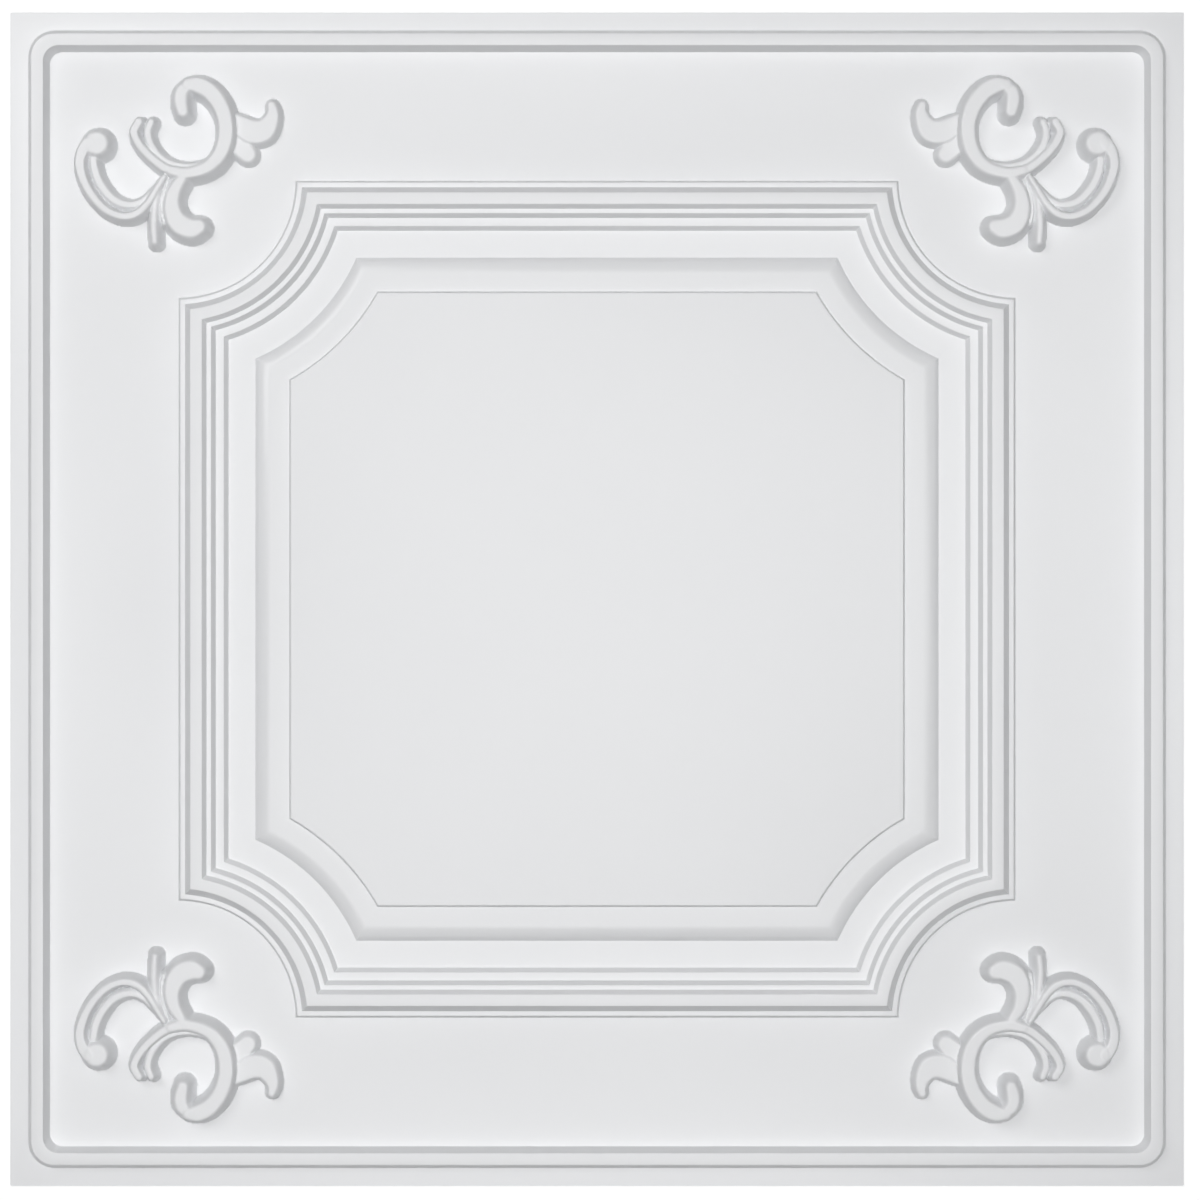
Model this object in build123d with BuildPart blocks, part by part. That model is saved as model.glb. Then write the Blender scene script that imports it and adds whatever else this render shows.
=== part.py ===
import os
from math import asin, atan2, cos, sin, sqrt, tan

from build123d import *

# Sheet: a square lay-in panel for a 24 inch grid, formed from thin sheet
TILE = 603.0
WALL = 0.8

# Raised rim that stands a lip's width in from the cut edge
LIP = 9.9
RIM_RUN = 2.2
RIM_TOP = 6.1
RIM_RISE = 6.5
RIM_CENTRE = 22.0

# Frame moulding: a square with concave corners, stepped up to a ridge and down again
FRAME_INSET = 86.6
CORNER_RADIUS = 60.0
STEP_RUN = 0.8
STEP_RISE = 1.7
STEP_TREAD = 2.9
RIDGE_RUN = 3.6
RIDGE_RISE = 7.7
RIDGE_TOP = 5.9
DROP_RUN = 2.0
DROP_COUNT = 3
UPPER_TREAD = 2.3
LOWER_TREAD = 4.1
PLATEAU = 13.8

# Raised centre panel: a convex bevel, a flat margin and a small step
BEVEL_RUN = 8.6
BEVEL_RISE = 4.3
BEVEL_PARTS = 3
MARGIN = 9.3
PANEL_RUN = 0.8
PANEL_RISE = 1.4

# Corner scrolls: spine points as across, down and half-width of the crest,
# measured from the upper left corner of the tile
SCROLL_RUN = 3.0
SCROLL_RISE = 9.8
CURL = [
    (92.4, 38.4, 2.4),
    (97.8, 38.5, 3.6),
    (107.6, 46.2, 3.7),
    (111.7, 59.1, 3.5),
    (108.8, 73.6, 3.3),
    (100.0, 81.9, 2.8),
    (88.0, 83.7, 2.3),
    (74.3, 76.3, 1.7),
    (65.9, 64.5, 1.7),
    (67.9, 58.5, 1.6),
]
CURL_TIP = [(90.0, 53.4, 2.7), (89.3, 45.0, 3.2), (95.0, 38.0, 2.0)]
INNER_LEAF = [
    (74.9, 58.0, 1.4),
    (74.9, 64.5, 1.5),
    (81.5, 74.0, 1.5),
    (91.5, 79.4, 1.3),
    (101.1, 77.6, 0.8),
]
LOWER_LEAF = [
    (98.4, 110.5, 3.8),
    (92.2, 111.2, 4.2),
    (86.0, 105.0, 4.0),
    (85.6, 94.5, 3.3),
    (90.2, 86.0, 2.0),
]
SPIKE = [(75.4, 119.0, 0.9), (75.3, 104.0, 1.2), (78.8, 89.5, 0.6)]
OUTER_SWEEP = [
    (40.0, 70.0, 2.5),
    (37.6, 78.5, 2.1),
    (41.5, 91.8, 2.0),
    (51.0, 102.3, 2.0),
    (62.5, 104.3, 2.0),
    (72.5, 98.0, 1.5),
    (80.5, 86.0, 1.0),
]
INNER_SWEEP = [
    (44.6, 74.0, 1.2),
    (46.6, 85.2, 1.3),
    (55.5, 96.2, 1.3),
    (65.5, 97.9, 1.0),
    (73.0, 93.5, 0.7),
]
SIDE_LEAF = [
    (137.0, 50.4, 1.7),
    (134.9, 58.0, 3.8),
    (128.0, 62.6, 4.9),
    (114.0, 57.5, 3.8),
]
SIDE_LOBE = [(124.4, 75.2, 0.7), (121.6, 72.6, 3.6), (114.5, 65.5, 3.8)]

# Each stroke with its share of the full rise, how it starts and stops, and the part
# of its spine along which it is hollow behind
STROKES = [
    (CURL, 1.0, ("pointed", "pointed"), slice(1, 7)),
    (CURL_TIP, 0.98, ("round", "joined"), None),
    (INNER_LEAF, 0.9, ("pointed", "joined"), None),
    (LOWER_LEAF, 0.98, ("round", "joined"), None),
    (SPIKE, 0.85, ("pointed", "joined"), None),
    (OUTER_SWEEP, 0.93, ("joined", "joined"), slice(1, 6)),
    (INNER_SWEEP, 0.8, ("joined", "joined"), None),
    (SIDE_LEAF, 0.96, ("pointed", "joined"), None),
    (SIDE_LOBE, 0.88, ("pointed", "joined"), None),
]

# Round boss at the end of the sweep, as across and down of its centre
BOSS_AT = (45.9, 68.7)
BOSS_RADIUS = 6.2
BOSS_SHARE = 1.02

# Least half-width of a hollow's roof
NARROWEST = 0.35

# How far the two bodies run on past the sheet before one is taken from the other
SKIRT = 2.0

# Decimal places kept in a profile's points
DIGITS = 6


def walk(start, moves):
    # Points of a profile from its start and a list of runs and rises
    points = [start]
    for run, rise in moves:
        points.append((points[-1][0] + run, points[-1][1] + rise))
    return [(round(across, DIGITS), round(up, DIGITS)) for across, up in points]


def underside(points):
    # The same profile one sheet thickness behind, kept parallel to every face
    ends = [(points[0][0] - 1, points[0][1])] + points + [(points[-1][0] + 1, points[-1][1])]
    slopes = [atan2(b[1] - a[1], b[0] - a[0]) for a, b in zip(ends, ends[1:])]
    moved = []
    for (across, up), before, after in zip(points, slopes, slopes[1:]):
        reach = WALL / cos((after - before) / 2)
        middle = (after + before) / 2
        place = (across + reach * sin(middle), up - reach * cos(middle))
        moved.append((round(place[0], DIGITS), round(place[1], DIGITS)))
    return moved


def rim_outline(inset, height):
    # Rounded square at one distance in from the tile's edge
    with BuildSketch(Plane.XY.offset(height)) as face:
        RectangleRounded(TILE - 2 * inset, TILE - 2 * inset, RIM_CENTRE - inset)
    return face.sketch


def frame_outline(inset, height):
    # Square with four concave corners at one distance in from the moulding's foot
    corner = TILE / 2 - FRAME_INSET
    side = corner - inset
    radius = CORNER_RADIUS + inset
    end = corner - sqrt(radius**2 - inset**2)
    middle = corner - radius * sqrt(0.5)
    with BuildSketch(Plane.XY.offset(height)) as face:
        with BuildLine():
            Line((-end, side), (end, side))
            ThreePointArc((end, side), (middle, middle), (side, end))
            Line((side, end), (side, -end))
            ThreePointArc((side, -end), (middle, -middle), (end, -side))
            Line((end, -side), (-end, -side))
            ThreePointArc((-end, -side), (-middle, -middle), (-side, -end))
            Line((-side, -end), (-side, end))
            ThreePointArc((-side, end), (-middle, middle), (-end, side))
        make_face()
    return face.sketch


def stroke_outline(spine, grow, height, ends=("joined", "joined")):
    # Closed outline round a spine, grown by one amount beyond the crest's half-width;
    # an end is round, pointed, or cut straight where it is joined to another stroke
    places = [Vector(across - TILE / 2, TILE / 2 - down) for across, down, half in spine]
    halves = [max(half + grow, NARROWEST) for across, down, half in spine]
    gaps = zip([places[0]] + places[:-1], places[1:] + [places[-1]])
    aheads = [(after - before).normalized() for before, after in gaps]
    sides = [ahead.rotate(Axis.Z, 90) * half for ahead, half in zip(aheads, halves)]
    left = [place + side for place, side in zip(places, sides)]
    right = [place - side for place, side in zip(places, sides)]
    start = places[0] - aheads[0] * halves[0]
    finish = places[-1] + aheads[-1] * halves[-1]
    if ends[0] == "pointed":
        left[0] = start
        right[0] = start
    if ends[1] == "pointed":
        left[-1] = finish
        right[-1] = finish
    with BuildSketch(Plane.XY.offset(height)) as face:
        with BuildLine():
            Spline(*left)
            Spline(*right)
            if ends[0] == "round":
                Spline(right[0], start, left[0], tangents=(-aheads[0], aheads[0]))
            elif ends[0] == "joined":
                Line(right[0], left[0])
            if ends[1] == "joined":
                Line(left[-1], right[-1])
        make_face()
    return face.sketch


# Profiles of the front face, each measured in from where it starts
drop = (STEP_RISE + RIDGE_RISE) / DROP_COUNT
bevel_radius = (BEVEL_RUN**2 + BEVEL_RISE**2) / (2 * BEVEL_RISE)
bevel_angle = asin(BEVEL_RUN / bevel_radius)
rim_front = walk((LIP, WALL), [(RIM_RUN, RIM_RISE), (RIM_TOP, 0), (RIM_RUN, -RIM_RISE)])
ridge_front = walk(
    (0, WALL),
    [
        (STEP_RUN, STEP_RISE),
        (STEP_TREAD, 0),
        (RIDGE_RUN, RIDGE_RISE),
        (RIDGE_TOP, 0),
        (DROP_RUN, -drop),
        (UPPER_TREAD, 0),
        (DROP_RUN, -drop),
        (LOWER_TREAD, 0),
        (DROP_RUN, -drop),
    ],
)
bevel_foot = ridge_front[-1][0] + PLATEAU
bevel_front = []
for part_number in range(BEVEL_PARTS + 1):
    turn = bevel_angle * (1 - part_number / BEVEL_PARTS)
    across = bevel_foot + BEVEL_RUN - bevel_radius * sin(turn)
    up = WALL + BEVEL_RISE - bevel_radius * (1 - cos(turn))
    bevel_front.append((round(across, DIGITS), round(up, DIGITS)))
panel_front = walk((bevel_front[-1][0] + MARGIN, bevel_front[-1][1]), [(PANEL_RUN, PANEL_RISE)])

outlines = (
    (rim_outline, rim_front),
    (frame_outline, ridge_front),
    (frame_outline, bevel_front),
    (frame_outline, panel_front),
)

# The slope of a scroll's wall sets how far its hollow stays inside its outline
scroll_inset = WALL * tan(atan2(SCROLL_RISE, SCROLL_RUN) / 2)

# One corner's scroll as it stands proud of the front face, then its three mirror images
with BuildPart() as scroll_front:
    for spine, share, ends, hollow in STROKES:
        foot = stroke_outline(spine, SCROLL_RUN, WALL, ends)
        crest = stroke_outline(spine, 0, WALL + share * SCROLL_RISE, ends)
        loft([foot, crest], ruled=True)
    with Locations((BOSS_AT[0] - TILE / 2, TILE / 2 - BOSS_AT[1], WALL)):
        Cone(
            BOSS_RADIUS + SCROLL_RUN,
            BOSS_RADIUS,
            BOSS_SHARE * SCROLL_RISE,
            align=(Align.CENTER, Align.CENTER, Align.MIN),
        )
    mirror(about=Plane.YZ)
    mirror(about=Plane.XZ)

# The hollows behind the longest strokes
with BuildPart() as scroll_back:
    for spine, share, ends, hollow in STROKES:
        if hollow:
            foot = stroke_outline(spine[hollow], SCROLL_RUN - scroll_inset, 0)
            crest = stroke_outline(spine[hollow], -scroll_inset, share * SCROLL_RISE)
            loft([foot, crest], ruled=True)
    mirror(about=Plane.YZ)
    mirror(about=Plane.XZ)

# Everything behind the front face
with BuildPart() as front:
    with Locations((0, 0, WALL)):
        Box(TILE, TILE, WALL + SKIRT, align=(Align.CENTER, Align.CENTER, Align.MAX))
    for outline, profile in outlines:
        for (low_in, low), (high_in, high) in zip(profile, profile[1:]):
            if low != high:
                way = Mode.ADD if high > low else Mode.SUBTRACT
                loft([outline(low_in, low), outline(high_in, high)], ruled=True, mode=way)
    add(scroll_front.part)

# Everything behind the back face, run out past the tile's edge
with BuildPart() as back:
    Box(TILE + SKIRT, TILE + SKIRT, 2 * SKIRT, align=(Align.CENTER, Align.CENTER, Align.MAX))
    for outline, profile in outlines:
        hollow = underside(profile)
        for (low_in, low), (high_in, high) in zip(hollow, hollow[1:]):
            if low != high:
                way = Mode.ADD if high > low else Mode.SUBTRACT
                loft([outline(low_in, low), outline(high_in, high)], ruled=True, mode=way)
    add(scroll_back.part)

# The formed sheet is what lies between the two
with BuildPart() as ceiling_tile:
    add(front.part)
    add(back.part, mode=Mode.SUBTRACT)

os.makedirs("parts", exist_ok=True)
ceiling_tile.part.label = "ceiling_tile"
export_step(ceiling_tile.part, "parts/ceiling_tile.step")
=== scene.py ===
from math import asin, atan2, cos, hypot, pi, radians, sin, tan

import bmesh
import bpy
import numpy as np
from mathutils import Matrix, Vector
from mathutils.geometry import delaunay_2d_cdt


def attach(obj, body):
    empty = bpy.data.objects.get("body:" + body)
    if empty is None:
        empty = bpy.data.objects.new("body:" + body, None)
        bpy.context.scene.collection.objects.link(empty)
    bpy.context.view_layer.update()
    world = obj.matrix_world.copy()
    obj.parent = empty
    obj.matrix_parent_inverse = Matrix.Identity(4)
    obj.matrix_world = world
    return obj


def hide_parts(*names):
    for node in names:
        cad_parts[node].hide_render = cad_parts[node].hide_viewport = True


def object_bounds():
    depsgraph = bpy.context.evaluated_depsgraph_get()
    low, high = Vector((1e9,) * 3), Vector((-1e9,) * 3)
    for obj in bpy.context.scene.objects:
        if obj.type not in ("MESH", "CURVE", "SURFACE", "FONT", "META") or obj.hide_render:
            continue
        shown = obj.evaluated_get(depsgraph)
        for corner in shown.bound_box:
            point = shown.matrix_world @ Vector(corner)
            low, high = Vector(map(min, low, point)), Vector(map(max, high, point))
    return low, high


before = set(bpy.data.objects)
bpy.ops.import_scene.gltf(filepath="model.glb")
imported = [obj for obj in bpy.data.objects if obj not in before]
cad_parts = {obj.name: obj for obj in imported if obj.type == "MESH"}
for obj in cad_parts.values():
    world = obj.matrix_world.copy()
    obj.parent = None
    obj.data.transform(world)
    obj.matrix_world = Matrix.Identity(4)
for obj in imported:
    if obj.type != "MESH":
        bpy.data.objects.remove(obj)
cad_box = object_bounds()

# Sizes in millimetres, which MM turns into metres. They are the part's own, but the rim, the
# first step, the ridge's rise and the panel's step follow the photograph more closely.
MM = 0.001
TILE = round((cad_box[1][0] - cad_box[0][0]) / MM, 3)
HALF = TILE / 2
WALL = 0.8
EDGE_RADIUS = 0.6

# Raised rim, with corner radii that shrink from its outer to its inner side
LIP = 9.4
RIM_OUTER = 2.7
RIM_TOP = 6.1
RIM_INNER = 2.2
RIM_RISE = 6.5
RIM_RADIUS = 13.6
RIM_INNER_RADIUS = 6.6

# Frame moulding: a square with concave corners, stepped up to a ridge and down again
FRAME_INSET = 86.6
CORNER_RADIUS = 60.0
STEP_RUN = 1.2
STEP_RISE = 2.7
STEP_TREAD = 2.5
RIDGE_RUN = 3.6
RIDGE_RISE = 6.7
RIDGE_TOP = 5.9
DROP_COUNT = 3
DROP_RUN = 2.0
DROP = (STEP_RISE + RIDGE_RISE) / DROP_COUNT
UPPER_TREAD = 2.3
LOWER_TREAD = 4.1
PLATEAU = 13.8

# Raised centre panel: a convex bevel, a flat margin and a small step
BEVEL_RUN = 8.6
BEVEL_RISE = 4.3
MARGIN = 9.3
PANEL_RUN = 1.0
PANEL_RISE = 2.0

# Rounding of the mould's edges: radii, the least bend that is rounded, how much of a face
# a round may take, and how finely rounds and corners are divided
CREST_ROUND = 0.6
FOOT_ROUND = 0.4
LEAST_BEND = radians(12)
ROUND_SHARE = 0.45
ROUND_STEPS = 4
BEVEL_STEPS = 8
ARC_STEPS = 28
RIM_STEPS = 10
SHARP_BEND = radians(35)

# Corner scroll: for each stroke its share of the full rise, its wall's run, and its spine as
# points across and down from the tile's upper left corner, with the crest's half-width
SCROLL_RISE = 9.8
STROKES = [
    # Curl
    (1.0, 3.6, [
        (92.6, 38.6, 1.9), (98.2, 39.2, 3.3), (104.2, 42.7, 3.4), (109.4, 49.8, 3.2),
        (112.0, 59.0, 3.0), (111.3, 68.6, 2.9), (107.5, 76.5, 2.6), (101.1, 81.7, 2.2),
        (91.5, 84.1, 1.9), (84.0, 82.8, 1.5),
    ]),
    # The curl's tail, which is the outer side of the inner leaf
    (0.98, 2.6, [
        (91.5, 83.6, 1.7), (82.0, 81.9, 1.6), (74.1, 76.3, 1.5), (67.9, 69.4, 1.5),
        (65.2, 63.0, 1.5), (67.6, 57.8, 1.4),
    ]),
    # The curl's tip
    (0.98, 4.2, [(90.0, 52.4, 1.9), (89.0, 47.2, 2.4), (89.6, 42.4, 2.2), (93.0, 39.2, 1.7)]),
    # Bead along the inner leaf
    (0.84, 2.7, [
        (73.8, 57.4, 1.0), (72.2, 62.0, 1.1), (72.8, 67.1, 1.1), (75.8, 72.6, 1.1),
        (79.3, 76.2, 1.0), (83.4, 78.6, 0.9), (89.0, 80.0, 0.8), (94.2, 79.9, 0.6),
        (99.0, 78.9, 0.4), (103.5, 76.6, 0.1),
    ]),
    # Web between the inner leaf's two ends
    (0.62, 2.6, [(68.3, 58.5, 0.6), (73.0, 58.1, 0.6)]),
    # Lower leaf
    (0.98, 4.0, [
        (98.0, 111.2, 2.8), (93.6, 112.1, 4.1), (87.5, 109.0, 4.1), (84.5, 101.5, 3.1),
        (85.6, 93.5, 2.3), (90.2, 86.0, 1.3),
    ]),
    # Rib between the lower leaf and the spike
    (0.78, 2.4, [(82.5, 86.7, 0.1), (79.8, 95.3, 0.2), (78.9, 103.0, 0.2), (80.0, 109.6, 0.2)]),
    # Spike
    (0.85, 4.0, [(75.5, 118.8, 0.5), (75.0, 109.1, 0.7), (76.0, 99.0, 0.5), (78.6, 89.5, 0.3)]),
    # Outer sweep
    (0.97, 2.8, [
        (41.6, 68.6, 2.4), (39.1, 72.3, 2.2), (37.7, 76.8, 1.9), (38.0, 83.0, 1.7),
        (41.8, 92.5, 1.5), (48.8, 101.1, 1.3), (56.0, 105.3, 1.2), (62.0, 106.0, 1.2),
        (67.5, 104.0, 1.2), (72.2, 99.3, 1.0), (76.5, 92.4, 0.8), (80.5, 86.0, 0.6),
    ]),
    # Bead inside the sweep
    (0.8, 2.8, [
        (44.2, 77.0, 1.2), (45.0, 82.5, 1.3), (46.8, 87.4, 1.4), (49.9, 92.4, 1.4),
        (54.2, 96.9, 1.3), (59.6, 99.5, 1.2), (65.2, 99.7, 1.0), (70.0, 97.2, 0.7),
        (73.7, 93.2, 0.4), (76.3, 90.3, 0.2), (78.6, 87.6, 0.1),
    ]),
    # Side leaf
    (0.62, 2.7, [
        (135.0, 48.5, 1.2), (135.7, 52.2, 2.0), (134.4, 57.0, 3.2), (130.8, 61.6, 4.8),
        (125.0, 62.2, 5.2), (119.5, 59.4, 4.3), (114.0, 57.0, 3.7),
    ]),
    # Side lobe
    (0.54, 2.8, [(122.6, 73.6, 3.5), (119.5, 70.4, 4.0), (114.5, 65.5, 4.0)]),
    # Round boss at the end of the sweep
    (0.97, 4.4, [(45.8, 68.7, 4.9), (46.0, 68.7, 4.9)]),
]

# How the strokes' walls curve and blend, and the grids on which the two sides are worked out:
# their cells, the height that counts as raised, and the flat cells kept round it
BULGE = 1.8
BLEND = 0.7
SPAN_STEPS = 10
FRONT_CELL = 0.57
BACK_CELL = 1.3
FLAT = 0.002
MARGIN_CELLS = 2

# Stand-ins for zero and for a great distance, and the gap at which mirrored halves are joined
TINY = 1e-9
FAR = 1e3
CDT_GAP = 1e-6
JOIN_GAP = 1e-6


def walk(start, moves):
    """Points of a profile from its start and a list of runs and rises."""
    points = [start]
    for run, rise in moves:
        points.append((points[-1][0] + run, points[-1][1] + rise))
    return points


def slopes(points):
    """Slope before and after each point, with level ground beyond both ends."""
    angles = [atan2(b[1] - a[1], b[0] - a[0]) for a, b in zip(points, points[1:])]
    return list(zip([0.0] + angles, angles + [0.0]))


def underside(points):
    """The same profile one sheet thickness behind."""
    moved = []
    for (across, up), (before, after) in zip(points, slopes(points)):
        reach = WALL / cos((after - before) / 2)
        lean = (after + before) / 2
        moved.append((across + reach * sin(lean), up - reach * cos(lean)))
    return moved


def rounded(points):
    """Profile with every edge rounded, crests more than feet."""
    smooth = []
    for i, ((across, up), (before, after)) in enumerate(zip(points, slopes(points))):
        bend = after - before
        if abs(bend) < LEAST_BEND:
            smooth.append((across, up))
            continue
        reach = (CREST_ROUND if bend < 0 else FOOT_ROUND) * tan(abs(bend) / 2)
        for other in (points[max(i - 1, 0)], points[min(i + 1, len(points) - 1)]):
            gap = hypot(other[0] - across, other[1] - up)
            reach = min(reach, ROUND_SHARE * gap) if gap else reach
        start = (across - reach * cos(before), up - reach * sin(before))
        end = (across + reach * cos(after), up + reach * sin(after))
        for step in range(ROUND_STEPS + 1):
            t = step / ROUND_STEPS
            first, second, third = (1 - t) ** 2, 2 * t * (1 - t), t * t
            smooth.append((
                first * start[0] + second * across + third * end[0],
                first * start[1] + second * up + third * end[1],
            ))
    return smooth


def rim_line(inset):
    """Quarter of a rounded square, from the middle of the left side to the middle of the top."""
    side = HALF - inset
    width = RIM_OUTER + RIM_TOP + RIM_INNER
    if inset < LIP:
        radius = EDGE_RADIUS + (RIM_RADIUS - EDGE_RADIUS) * inset / LIP
    else:
        radius = RIM_RADIUS + (RIM_INNER_RADIUS - RIM_RADIUS) * (inset - LIP) / width
    line = [(-side, 0.0)]
    for step in range(RIM_STEPS + 1):
        turn = pi / 2 * step / RIM_STEPS
        line.append((-side + radius * (1 - cos(turn)), side - radius * (1 - sin(turn))))
    return line + [(0.0, side)]


def frame_line(inset):
    """Quarter of the moulding's outline at one distance in from its foot."""
    corner = HALF - FRAME_INSET
    radius = CORNER_RADIUS + inset
    start = asin(inset / radius)
    line = [(inset - corner, 0.0)]
    for step in range(ARC_STEPS + 1):
        turn = start + (pi / 2 - 2 * start) * step / ARC_STEPS
        line.append((radius * sin(turn) - corner, corner - radius * cos(turn)))
    return line + [(0.0, corner - inset)]


class Surface:
    """Vertices and faces of one quarter of the tile, in millimetres."""

    def __init__(self):
        self.points = []
        self.faces = []

    def add(self, points):
        """Adds points and returns their numbers."""
        first = len(self.points)
        self.points.extend(points)
        return list(range(first, len(self.points)))

    def loft(self, profile, line):
        """Adds a row of points for each point of the profile, with faces between the rows."""
        rows = [self.add([(x, y, up) for x, y in line(inset)]) for inset, up in profile]
        for outer, inner in zip(rows, rows[1:]):
            for k in range(len(outer) - 1):
                self.faces.append((outer[k], outer[k + 1], inner[k + 1], inner[k]))
        return rows


def smooth_spine(spine):
    """Spine points and half-widths on a smooth curve through the given ones."""
    ends = np.array([spine[0]] + spine + [spine[-1]], float)
    ends[0] = 2 * ends[1] - ends[2]
    ends[-1] = 2 * ends[-2] - ends[-3]
    t = np.arange(SPAN_STEPS)[:, None] / SPAN_STEPS
    parts = []
    for a, b, c, d in zip(ends, ends[1:], ends[2:], ends[3:]):
        square = 2 * a - 5 * b + 4 * c - d
        cube = 3 * b - a - 3 * c + d
        parts.append(0.5 * (2 * b + (c - a) * t + square * t**2 + cube * t**3))
    return np.vstack(parts + [ends[-2][None]])


def wall_share(t):
    """Height share across a stroke's wall: level at the crest and steepest at the foot."""
    return 1 - np.clip(t, 0, 1) ** BULGE


def scroll_height(x, y, inset):
    """Height of the corner scroll above the field, its outline drawn in by one inset."""
    height = np.zeros_like(x)
    for rise, wall, spine in STROKES:
        curve = smooth_spine(spine)
        curve[:, 0] -= HALF
        curve[:, 1] = HALF - curve[:, 1]
        beyond = np.full_like(x, FAR)
        for a, b in zip(curve, curve[1:]):
            run = b[:2] - a[:2]
            along = ((x - a[0]) * run[0] + (y - a[1]) * run[1]) / max(run @ run, TINY)
            along = np.clip(along, 0, 1)
            off = np.hypot(x - a[0] - along * run[0], y - a[1] - along * run[1])
            beyond = np.minimum(beyond, off - a[2] - along * (b[2] - a[2]))
        stroke = rise * SCROLL_RISE * wall_share((beyond + inset) / wall)
        reach = np.minimum(BLEND, np.minimum(height, stroke)) + TINY
        web = np.clip(reach - np.abs(height - stroke), 0, None) ** 2 / (4 * reach)
        height = np.maximum(height, stroke) + web
    return height


def scroll_cells(surface, level, cell, inset):
    """Adds the scroll on a fine grid; returns its cells, where they start and its open edges."""
    points = [p for _, _, spine in STROKES for p in spine]
    widest = max(wall for _, wall, _ in STROKES)
    reach = max(max(x, y) + half for x, y, half in points) + 2 * widest
    start = min(min(x, y) - half for x, y, half in points) - 2 * widest
    count = int((reach - start) / cell)
    lattice = start + cell * np.arange(count + 1)
    x, y = np.meshgrid(lattice - HALF, HALF - lattice)
    height = scroll_height(x, y, inset)
    near = height > FLAT
    for _ in range(MARGIN_CELLS):
        near[1:] |= near[:-1].copy()
        near[:-1] |= near[1:].copy()
        near[:, 1:] |= near[:, :-1].copy()
        near[:, :-1] |= near[:, 1:].copy()
    cells = near[:-1, :-1] & near[1:, :-1] & near[:-1, 1:] & near[1:, 1:]
    used = np.zeros_like(near)
    for down in (0, 1):
        for across in (0, 1):
            used[down:count + down, across:count + across] |= cells
    index = np.full(x.shape, -1)
    index[used] = surface.add(list(zip(x[used], y[used], level + height[used])))
    edges = set()
    for i, j in zip(*np.nonzero(cells)):
        corners = (index[i, j], index[i + 1, j], index[i + 1, j + 1], index[i, j + 1])
        ring = [int(k) for k in corners]
        surface.faces.append(tuple(ring))
        for a, b in zip(ring, ring[1:] + ring[:1]):
            if (b, a) in edges:
                edges.remove((b, a))
            else:
                edges.add((a, b))
    return cells, start, edges


def field(surface, rim_row, frame_row, level, cell, inset):
    """Flat field between the rim and the moulding, joined to the scroll that stands in it."""
    cells, start, edges = scroll_cells(surface, level, cell, inset)
    count = len(cells)
    border = sorted({k for edge in edges for k in edge})
    outline = rim_row + frame_row[::-1]
    ids = outline + border
    number = {k: n for n, k in enumerate(ids)}
    loop = [(number[a], number[b]) for a, b in zip(outline, outline[1:] + outline[:1])]
    loop += [(number[a], number[b]) for a, b in edges]
    flat = [Vector(surface.points[k][:2]) for k in ids]
    found = delaunay_2d_cdt(flat, loop, [], 0, CDT_GAP)
    corner = HALF - FRAME_INSET
    for face in found[2]:
        ring = [ids[found[3][k][0]] for k in face]
        x, y = (sum(surface.points[k][axis] for k in ring) / len(ring) for axis in (0, 1))
        in_frame = min(x + corner, corner - y, hypot(x + corner, y - corner) - CORNER_RADIUS)
        column = int((x + HALF - start) / cell)
        row = int((HALF - y - start) / cell)
        in_scroll = 0 <= column < count and 0 <= row < count and cells[row, column]
        if in_frame < 0 and not in_scroll:
            surface.faces.append(tuple(ring))


def sheet_side(profile_of, level, cell, inset):
    """One side of the sheet as a quarter: lip and rim, field with scroll, moulding and panel."""
    surface = Surface()
    rim = profile_of(walk((LIP, WALL), [
        (RIM_OUTER, RIM_RISE), (RIM_TOP, 0), (RIM_INNER, -RIM_RISE),
    ]))
    ridge = profile_of(walk((0, WALL), [
        (STEP_RUN, STEP_RISE), (STEP_TREAD, 0), (RIDGE_RUN, RIDGE_RISE), (RIDGE_TOP, 0),
        (DROP_RUN, -DROP), (UPPER_TREAD, 0), (DROP_RUN, -DROP), (LOWER_TREAD, 0),
        (DROP_RUN, -DROP),
    ]))
    ridge_foot = STEP_RUN + STEP_TREAD + RIDGE_RUN + RIDGE_TOP
    bevel_foot = ridge_foot + DROP_COUNT * DROP_RUN + UPPER_TREAD + LOWER_TREAD + PLATEAU
    radius = (BEVEL_RUN**2 + BEVEL_RISE**2) / (2 * BEVEL_RISE)
    sweep = asin(BEVEL_RUN / radius)
    bevel = []
    for step in range(BEVEL_STEPS + 1):
        turn = sweep * (1 - step / BEVEL_STEPS)
        across = bevel_foot + BEVEL_RUN - radius * sin(turn)
        bevel.append((across, WALL + BEVEL_RISE - radius * (1 - cos(turn))))
    step_foot = (bevel[-1][0] + MARGIN, bevel[-1][1])
    panel = profile_of(bevel + walk(step_foot, [(PANEL_RUN, PANEL_RISE)]))
    lip_rows = surface.loft([(0.0, level)] + rim, rim_line)
    frame_rows = surface.loft(ridge + panel, frame_line)
    field(surface, lip_rows[-1], frame_rows[0], level, cell, inset)
    middle = surface.add([(0.0, 0.0, panel[-1][1])])
    surface.faces.append(tuple(middle + frame_rows[-1]))
    return surface, lip_rows[0]


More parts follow.
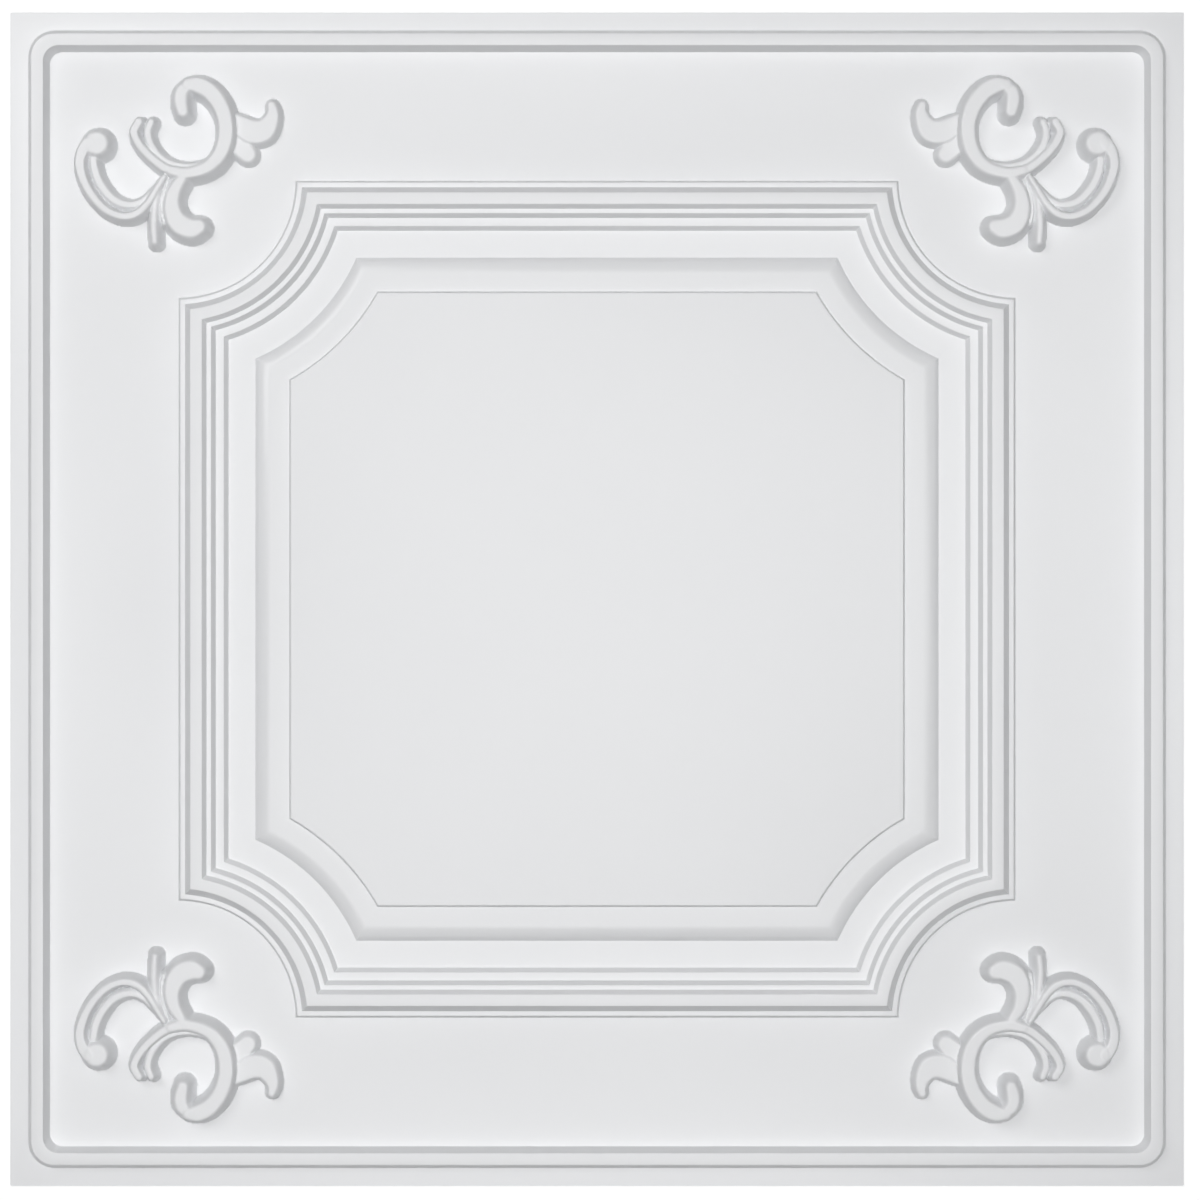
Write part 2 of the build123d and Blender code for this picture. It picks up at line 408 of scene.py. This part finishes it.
def tile_mesh():
    """The whole sheet: front, back and cut edge of one quarter, mirrored twice."""
    scroll_inset = WALL * tan(atan2(SCROLL_RISE, STROKES[0][1]) / 2)
    front, front_edge = sheet_side(rounded, WALL, FRONT_CELL, 0.0)
    back, back_edge = sheet_side(lambda p: rounded(underside(p)), 0.0, BACK_CELL, scroll_inset)
    shift = len(front.points)
    faces = list(front.faces)
    faces += [tuple(k + shift for k in reversed(face)) for face in back.faces]
    lower = [k + shift for k in back_edge]
    for k in range(len(lower) - 1):
        faces.append((front_edge[k + 1], front_edge[k], lower[k], lower[k + 1]))
    points = [tuple(c * MM for c in p) for p in front.points + back.points]
    mesh = bpy.data.meshes.new("ceiling_tile_sheet")
    mesh.from_pydata(points, [], faces)
    work = bmesh.new()
    work.from_mesh(mesh)
    loose = [v for v in work.verts if not v.link_faces]
    bmesh.ops.delete(work, geom=loose, context="VERTS")
    bmesh.ops.recalc_face_normals(work, faces=work.faces)
    for axis in ("X", "Y"):
        whole = work.verts[:] + work.edges[:] + work.faces[:]
        bmesh.ops.mirror(work, geom=whole, axis=axis, merge_dist=JOIN_GAP)
    bmesh.ops.recalc_face_normals(work, faces=work.faces)
    bmesh.ops.triangulate(work, faces=[f for f in work.faces if len(f.verts) > 4])
    work.to_mesh(mesh)
    work.free()
    mesh.shade_smooth()
    mesh.set_sharp_from_angle(angle=SHARP_BEND)
    return mesh


tile = bpy.data.objects.new("ceiling_tile_sheet", tile_mesh())
bpy.context.scene.collection.objects.link(tile)
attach(tile, "root")
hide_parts("ceiling_tile")

# Colours and finish: the sheet is white satin plastic with a slight unevenness of shade and
# a faint orange peel; noise scales are per metre, the peel's depth is in metres
WHITE = (1, 1, 1, 1)
SHEET_DARK = (0.775, 0.782, 0.796, 1)
SHEET_PALE = (0.797, 0.803, 0.815, 1)
SHEET_ROUGHNESS = 0.3
SHEET_IOR = 1.5
SHEET_SPECULAR = 0.5
CLOUD_SCALE, CLOUD_DETAIL = 9.0, 3.0
PEEL_SCALE, PEEL_DETAIL = 520.0, 2.0
PEEL_STRENGTH, PEEL_DEPTH = 0.06, 0.0004
FLOOR_COLOUR = (0.8, 0.8, 0.8, 1)
FLOOR_ROUGHNESS = 0.9


def set_inputs(made, values):
    """Sets inputs of a shader node by name, with an underscore for each space."""
    for name, value in values.items():
        made.inputs[name.replace("_", " ")].default_value = value


def node(tree, kind, **values):
    """New shader node with some of its inputs set."""
    made = tree.nodes.new(kind)
    set_inputs(made, values)
    return made


def maths(tree, operation, first, second):
    """Result of a shader node that works on two values."""
    made = tree.nodes.new("ShaderNodeMath")
    made.operation = operation
    tree.links.new(first, made.inputs[0])
    tree.links.new(second, made.inputs[1])
    return made.outputs[0]


def new_material(name, **values):
    """New material with some inputs of its shader set; returns it and the shader."""
    material = bpy.data.materials.new(name)
    material.use_nodes = True
    shader = material.node_tree.nodes["Principled BSDF"]
    set_inputs(shader, values)
    return material, shader


def sheet_material():
    """White formed plastic."""
    material, shader = new_material(
        "white_formed_sheet", Roughness=SHEET_ROUGHNESS, IOR=SHEET_IOR,
        Specular_IOR_Level=SHEET_SPECULAR,
    )
    tree = material.node_tree
    place = tree.nodes.new("ShaderNodeTexCoord")
    cloud = node(tree, "ShaderNodeTexNoise", Scale=CLOUD_SCALE, Detail=CLOUD_DETAIL)
    shade = tree.nodes.new("ShaderNodeValToRGB")
    shade.color_ramp.elements[0].color = SHEET_DARK
    shade.color_ramp.elements[1].color = SHEET_PALE
    peel = node(tree, "ShaderNodeTexNoise", Scale=PEEL_SCALE, Detail=PEEL_DETAIL)
    bump = node(tree, "ShaderNodeBump", Strength=PEEL_STRENGTH, Distance=PEEL_DEPTH)
    tree.links.new(place.outputs["Object"], cloud.inputs["Vector"])
    tree.links.new(place.outputs["Object"], peel.inputs["Vector"])
    tree.links.new(cloud.outputs["Fac"], shade.inputs["Fac"])
    tree.links.new(shade.outputs["Color"], shader.inputs["Base Color"])
    tree.links.new(peel.outputs["Fac"], bump.inputs["Height"])
    tree.links.new(bump.outputs["Normal"], shader.inputs["Normal"])
    return material


tile.data.materials.append(sheet_material())


def background_rays(tree):
    """One for rays that show the background: from the camera, mirrored or let through."""
    path = tree.nodes.new("ShaderNodeLightPath")
    shown = path.outputs["Is Camera Ray"]
    for other in ("Is Glossy Ray", "Is Transmission Ray"):
        shown = maths(tree, "MAXIMUM", shown, path.outputs[other])
    return shown


# Floor, in metres: pale, with the tile's shadow on it, just under the tile so that their faces
# don't coincide; its glow grows with the distance from the tile, to plain white
FLOOR_HALF = 12.0
FLOOR_DROP = 0.0002
GLOW_NEAR, GLOW_FAR = 0.4, 1.0
GLOW_FROM, GLOW_TO = 0.7, 1.8


def floor_material():
    """Pale ground that shows white away from the lamps."""
    material, shader = new_material(
        "white_ground", Base_Color=FLOOR_COLOUR, Roughness=FLOOR_ROUGHNESS,
        Specular_IOR_Level=0.0, Emission_Color=WHITE,
    )
    tree = material.node_tree
    place = tree.nodes.new("ShaderNodeTexCoord")
    away = tree.nodes.new("ShaderNodeVectorMath")
    away.operation = "LENGTH"
    glow = node(
        tree, "ShaderNodeMapRange", From_Min=GLOW_FROM, From_Max=GLOW_TO,
        To_Min=GLOW_NEAR, To_Max=GLOW_FAR,
    )
    tree.links.new(place.outputs["Object"], away.inputs[0])
    tree.links.new(away.outputs["Value"], glow.inputs["Value"])
    lift = maths(tree, "MULTIPLY", glow.outputs["Result"], background_rays(tree))
    tree.links.new(lift, shader.inputs["Emission Strength"])
    return material


floor_mesh = bpy.data.meshes.new("floor")
floor_mesh.from_pydata([
    (-FLOOR_HALF, -FLOOR_HALF, -FLOOR_DROP), (FLOOR_HALF, -FLOOR_HALF, -FLOOR_DROP),
    (FLOOR_HALF, FLOOR_HALF, -FLOOR_DROP), (-FLOOR_HALF, FLOOR_HALF, -FLOOR_DROP),
], [], [(0, 1, 2, 3)])
floor = bpy.data.objects.new("floor", floor_mesh)
bpy.context.scene.collection.objects.link(floor)
floor_mesh.materials.append(floor_material())

# World: a white background that lights nothing but reflections
world = bpy.data.worlds.new("room")
world.use_nodes = True
backdrop = world.node_tree.nodes["Background"]
backdrop.inputs["Color"].default_value = WHITE
world.node_tree.links.new(background_rays(world.node_tree), backdrop.inputs["Strength"])
bpy.context.scene.world = world

# Soft boxes aimed at the tile: place in metres, breadth, length and power. The large one
# overhead is mirrored in all the flats, the next shades the walls from the upper left, and the
# last lifts the right-hand bevel.
LAMPS = [
    ((-0.05, -0.12, 2.8), 1.8, 2.3, 48),
    ((-1.1, 0.9, 1.9), 0.9, 0.9, 15),
    ((1.3, 0.0, 1.9), 0.7, 1.2, 6.5),
]
for spot, breadth, length, power in LAMPS:
    lamp = bpy.data.lights.new("soft_box", "AREA")
    lamp.shape = "RECTANGLE"
    lamp.size = breadth
    lamp.size_y = length
    lamp.energy = power
    holder = bpy.data.objects.new("soft_box", lamp)
    holder.location = spot
    holder.rotation_euler = (-Vector(spot)).to_track_quat("-Z", "Y").to_euler()
    bpy.context.scene.collection.objects.link(holder)

# Camera: straight above the tile, as in the photograph, with a pixel's size on the tile, the
# photograph's width, the height of the eye in metres and the tile's middle in pixels
PIXEL = 0.5141 * MM
FRAME_PIXELS = 1200
VIEW_HEIGHT = 1.34
CENTRE_X = 597.0
CENTRE_Y = 599.2
SENSOR = 36.0
view = bpy.data.cameras.new("view")
view.sensor_width = SENSOR
view.lens = SENSOR * VIEW_HEIGHT / (FRAME_PIXELS * PIXEL)
view.dof.use_dof = False
camera = bpy.data.objects.new("view", view)
middle_pixel = FRAME_PIXELS / 2
camera.location = (
    (middle_pixel - CENTRE_X) * PIXEL, (CENTRE_Y - middle_pixel) * PIXEL, VIEW_HEIGHT,
)
bpy.context.scene.collection.objects.link(camera)
bpy.context.scene.camera = camera
bpy.context.scene.view_settings.view_transform = "Standard"
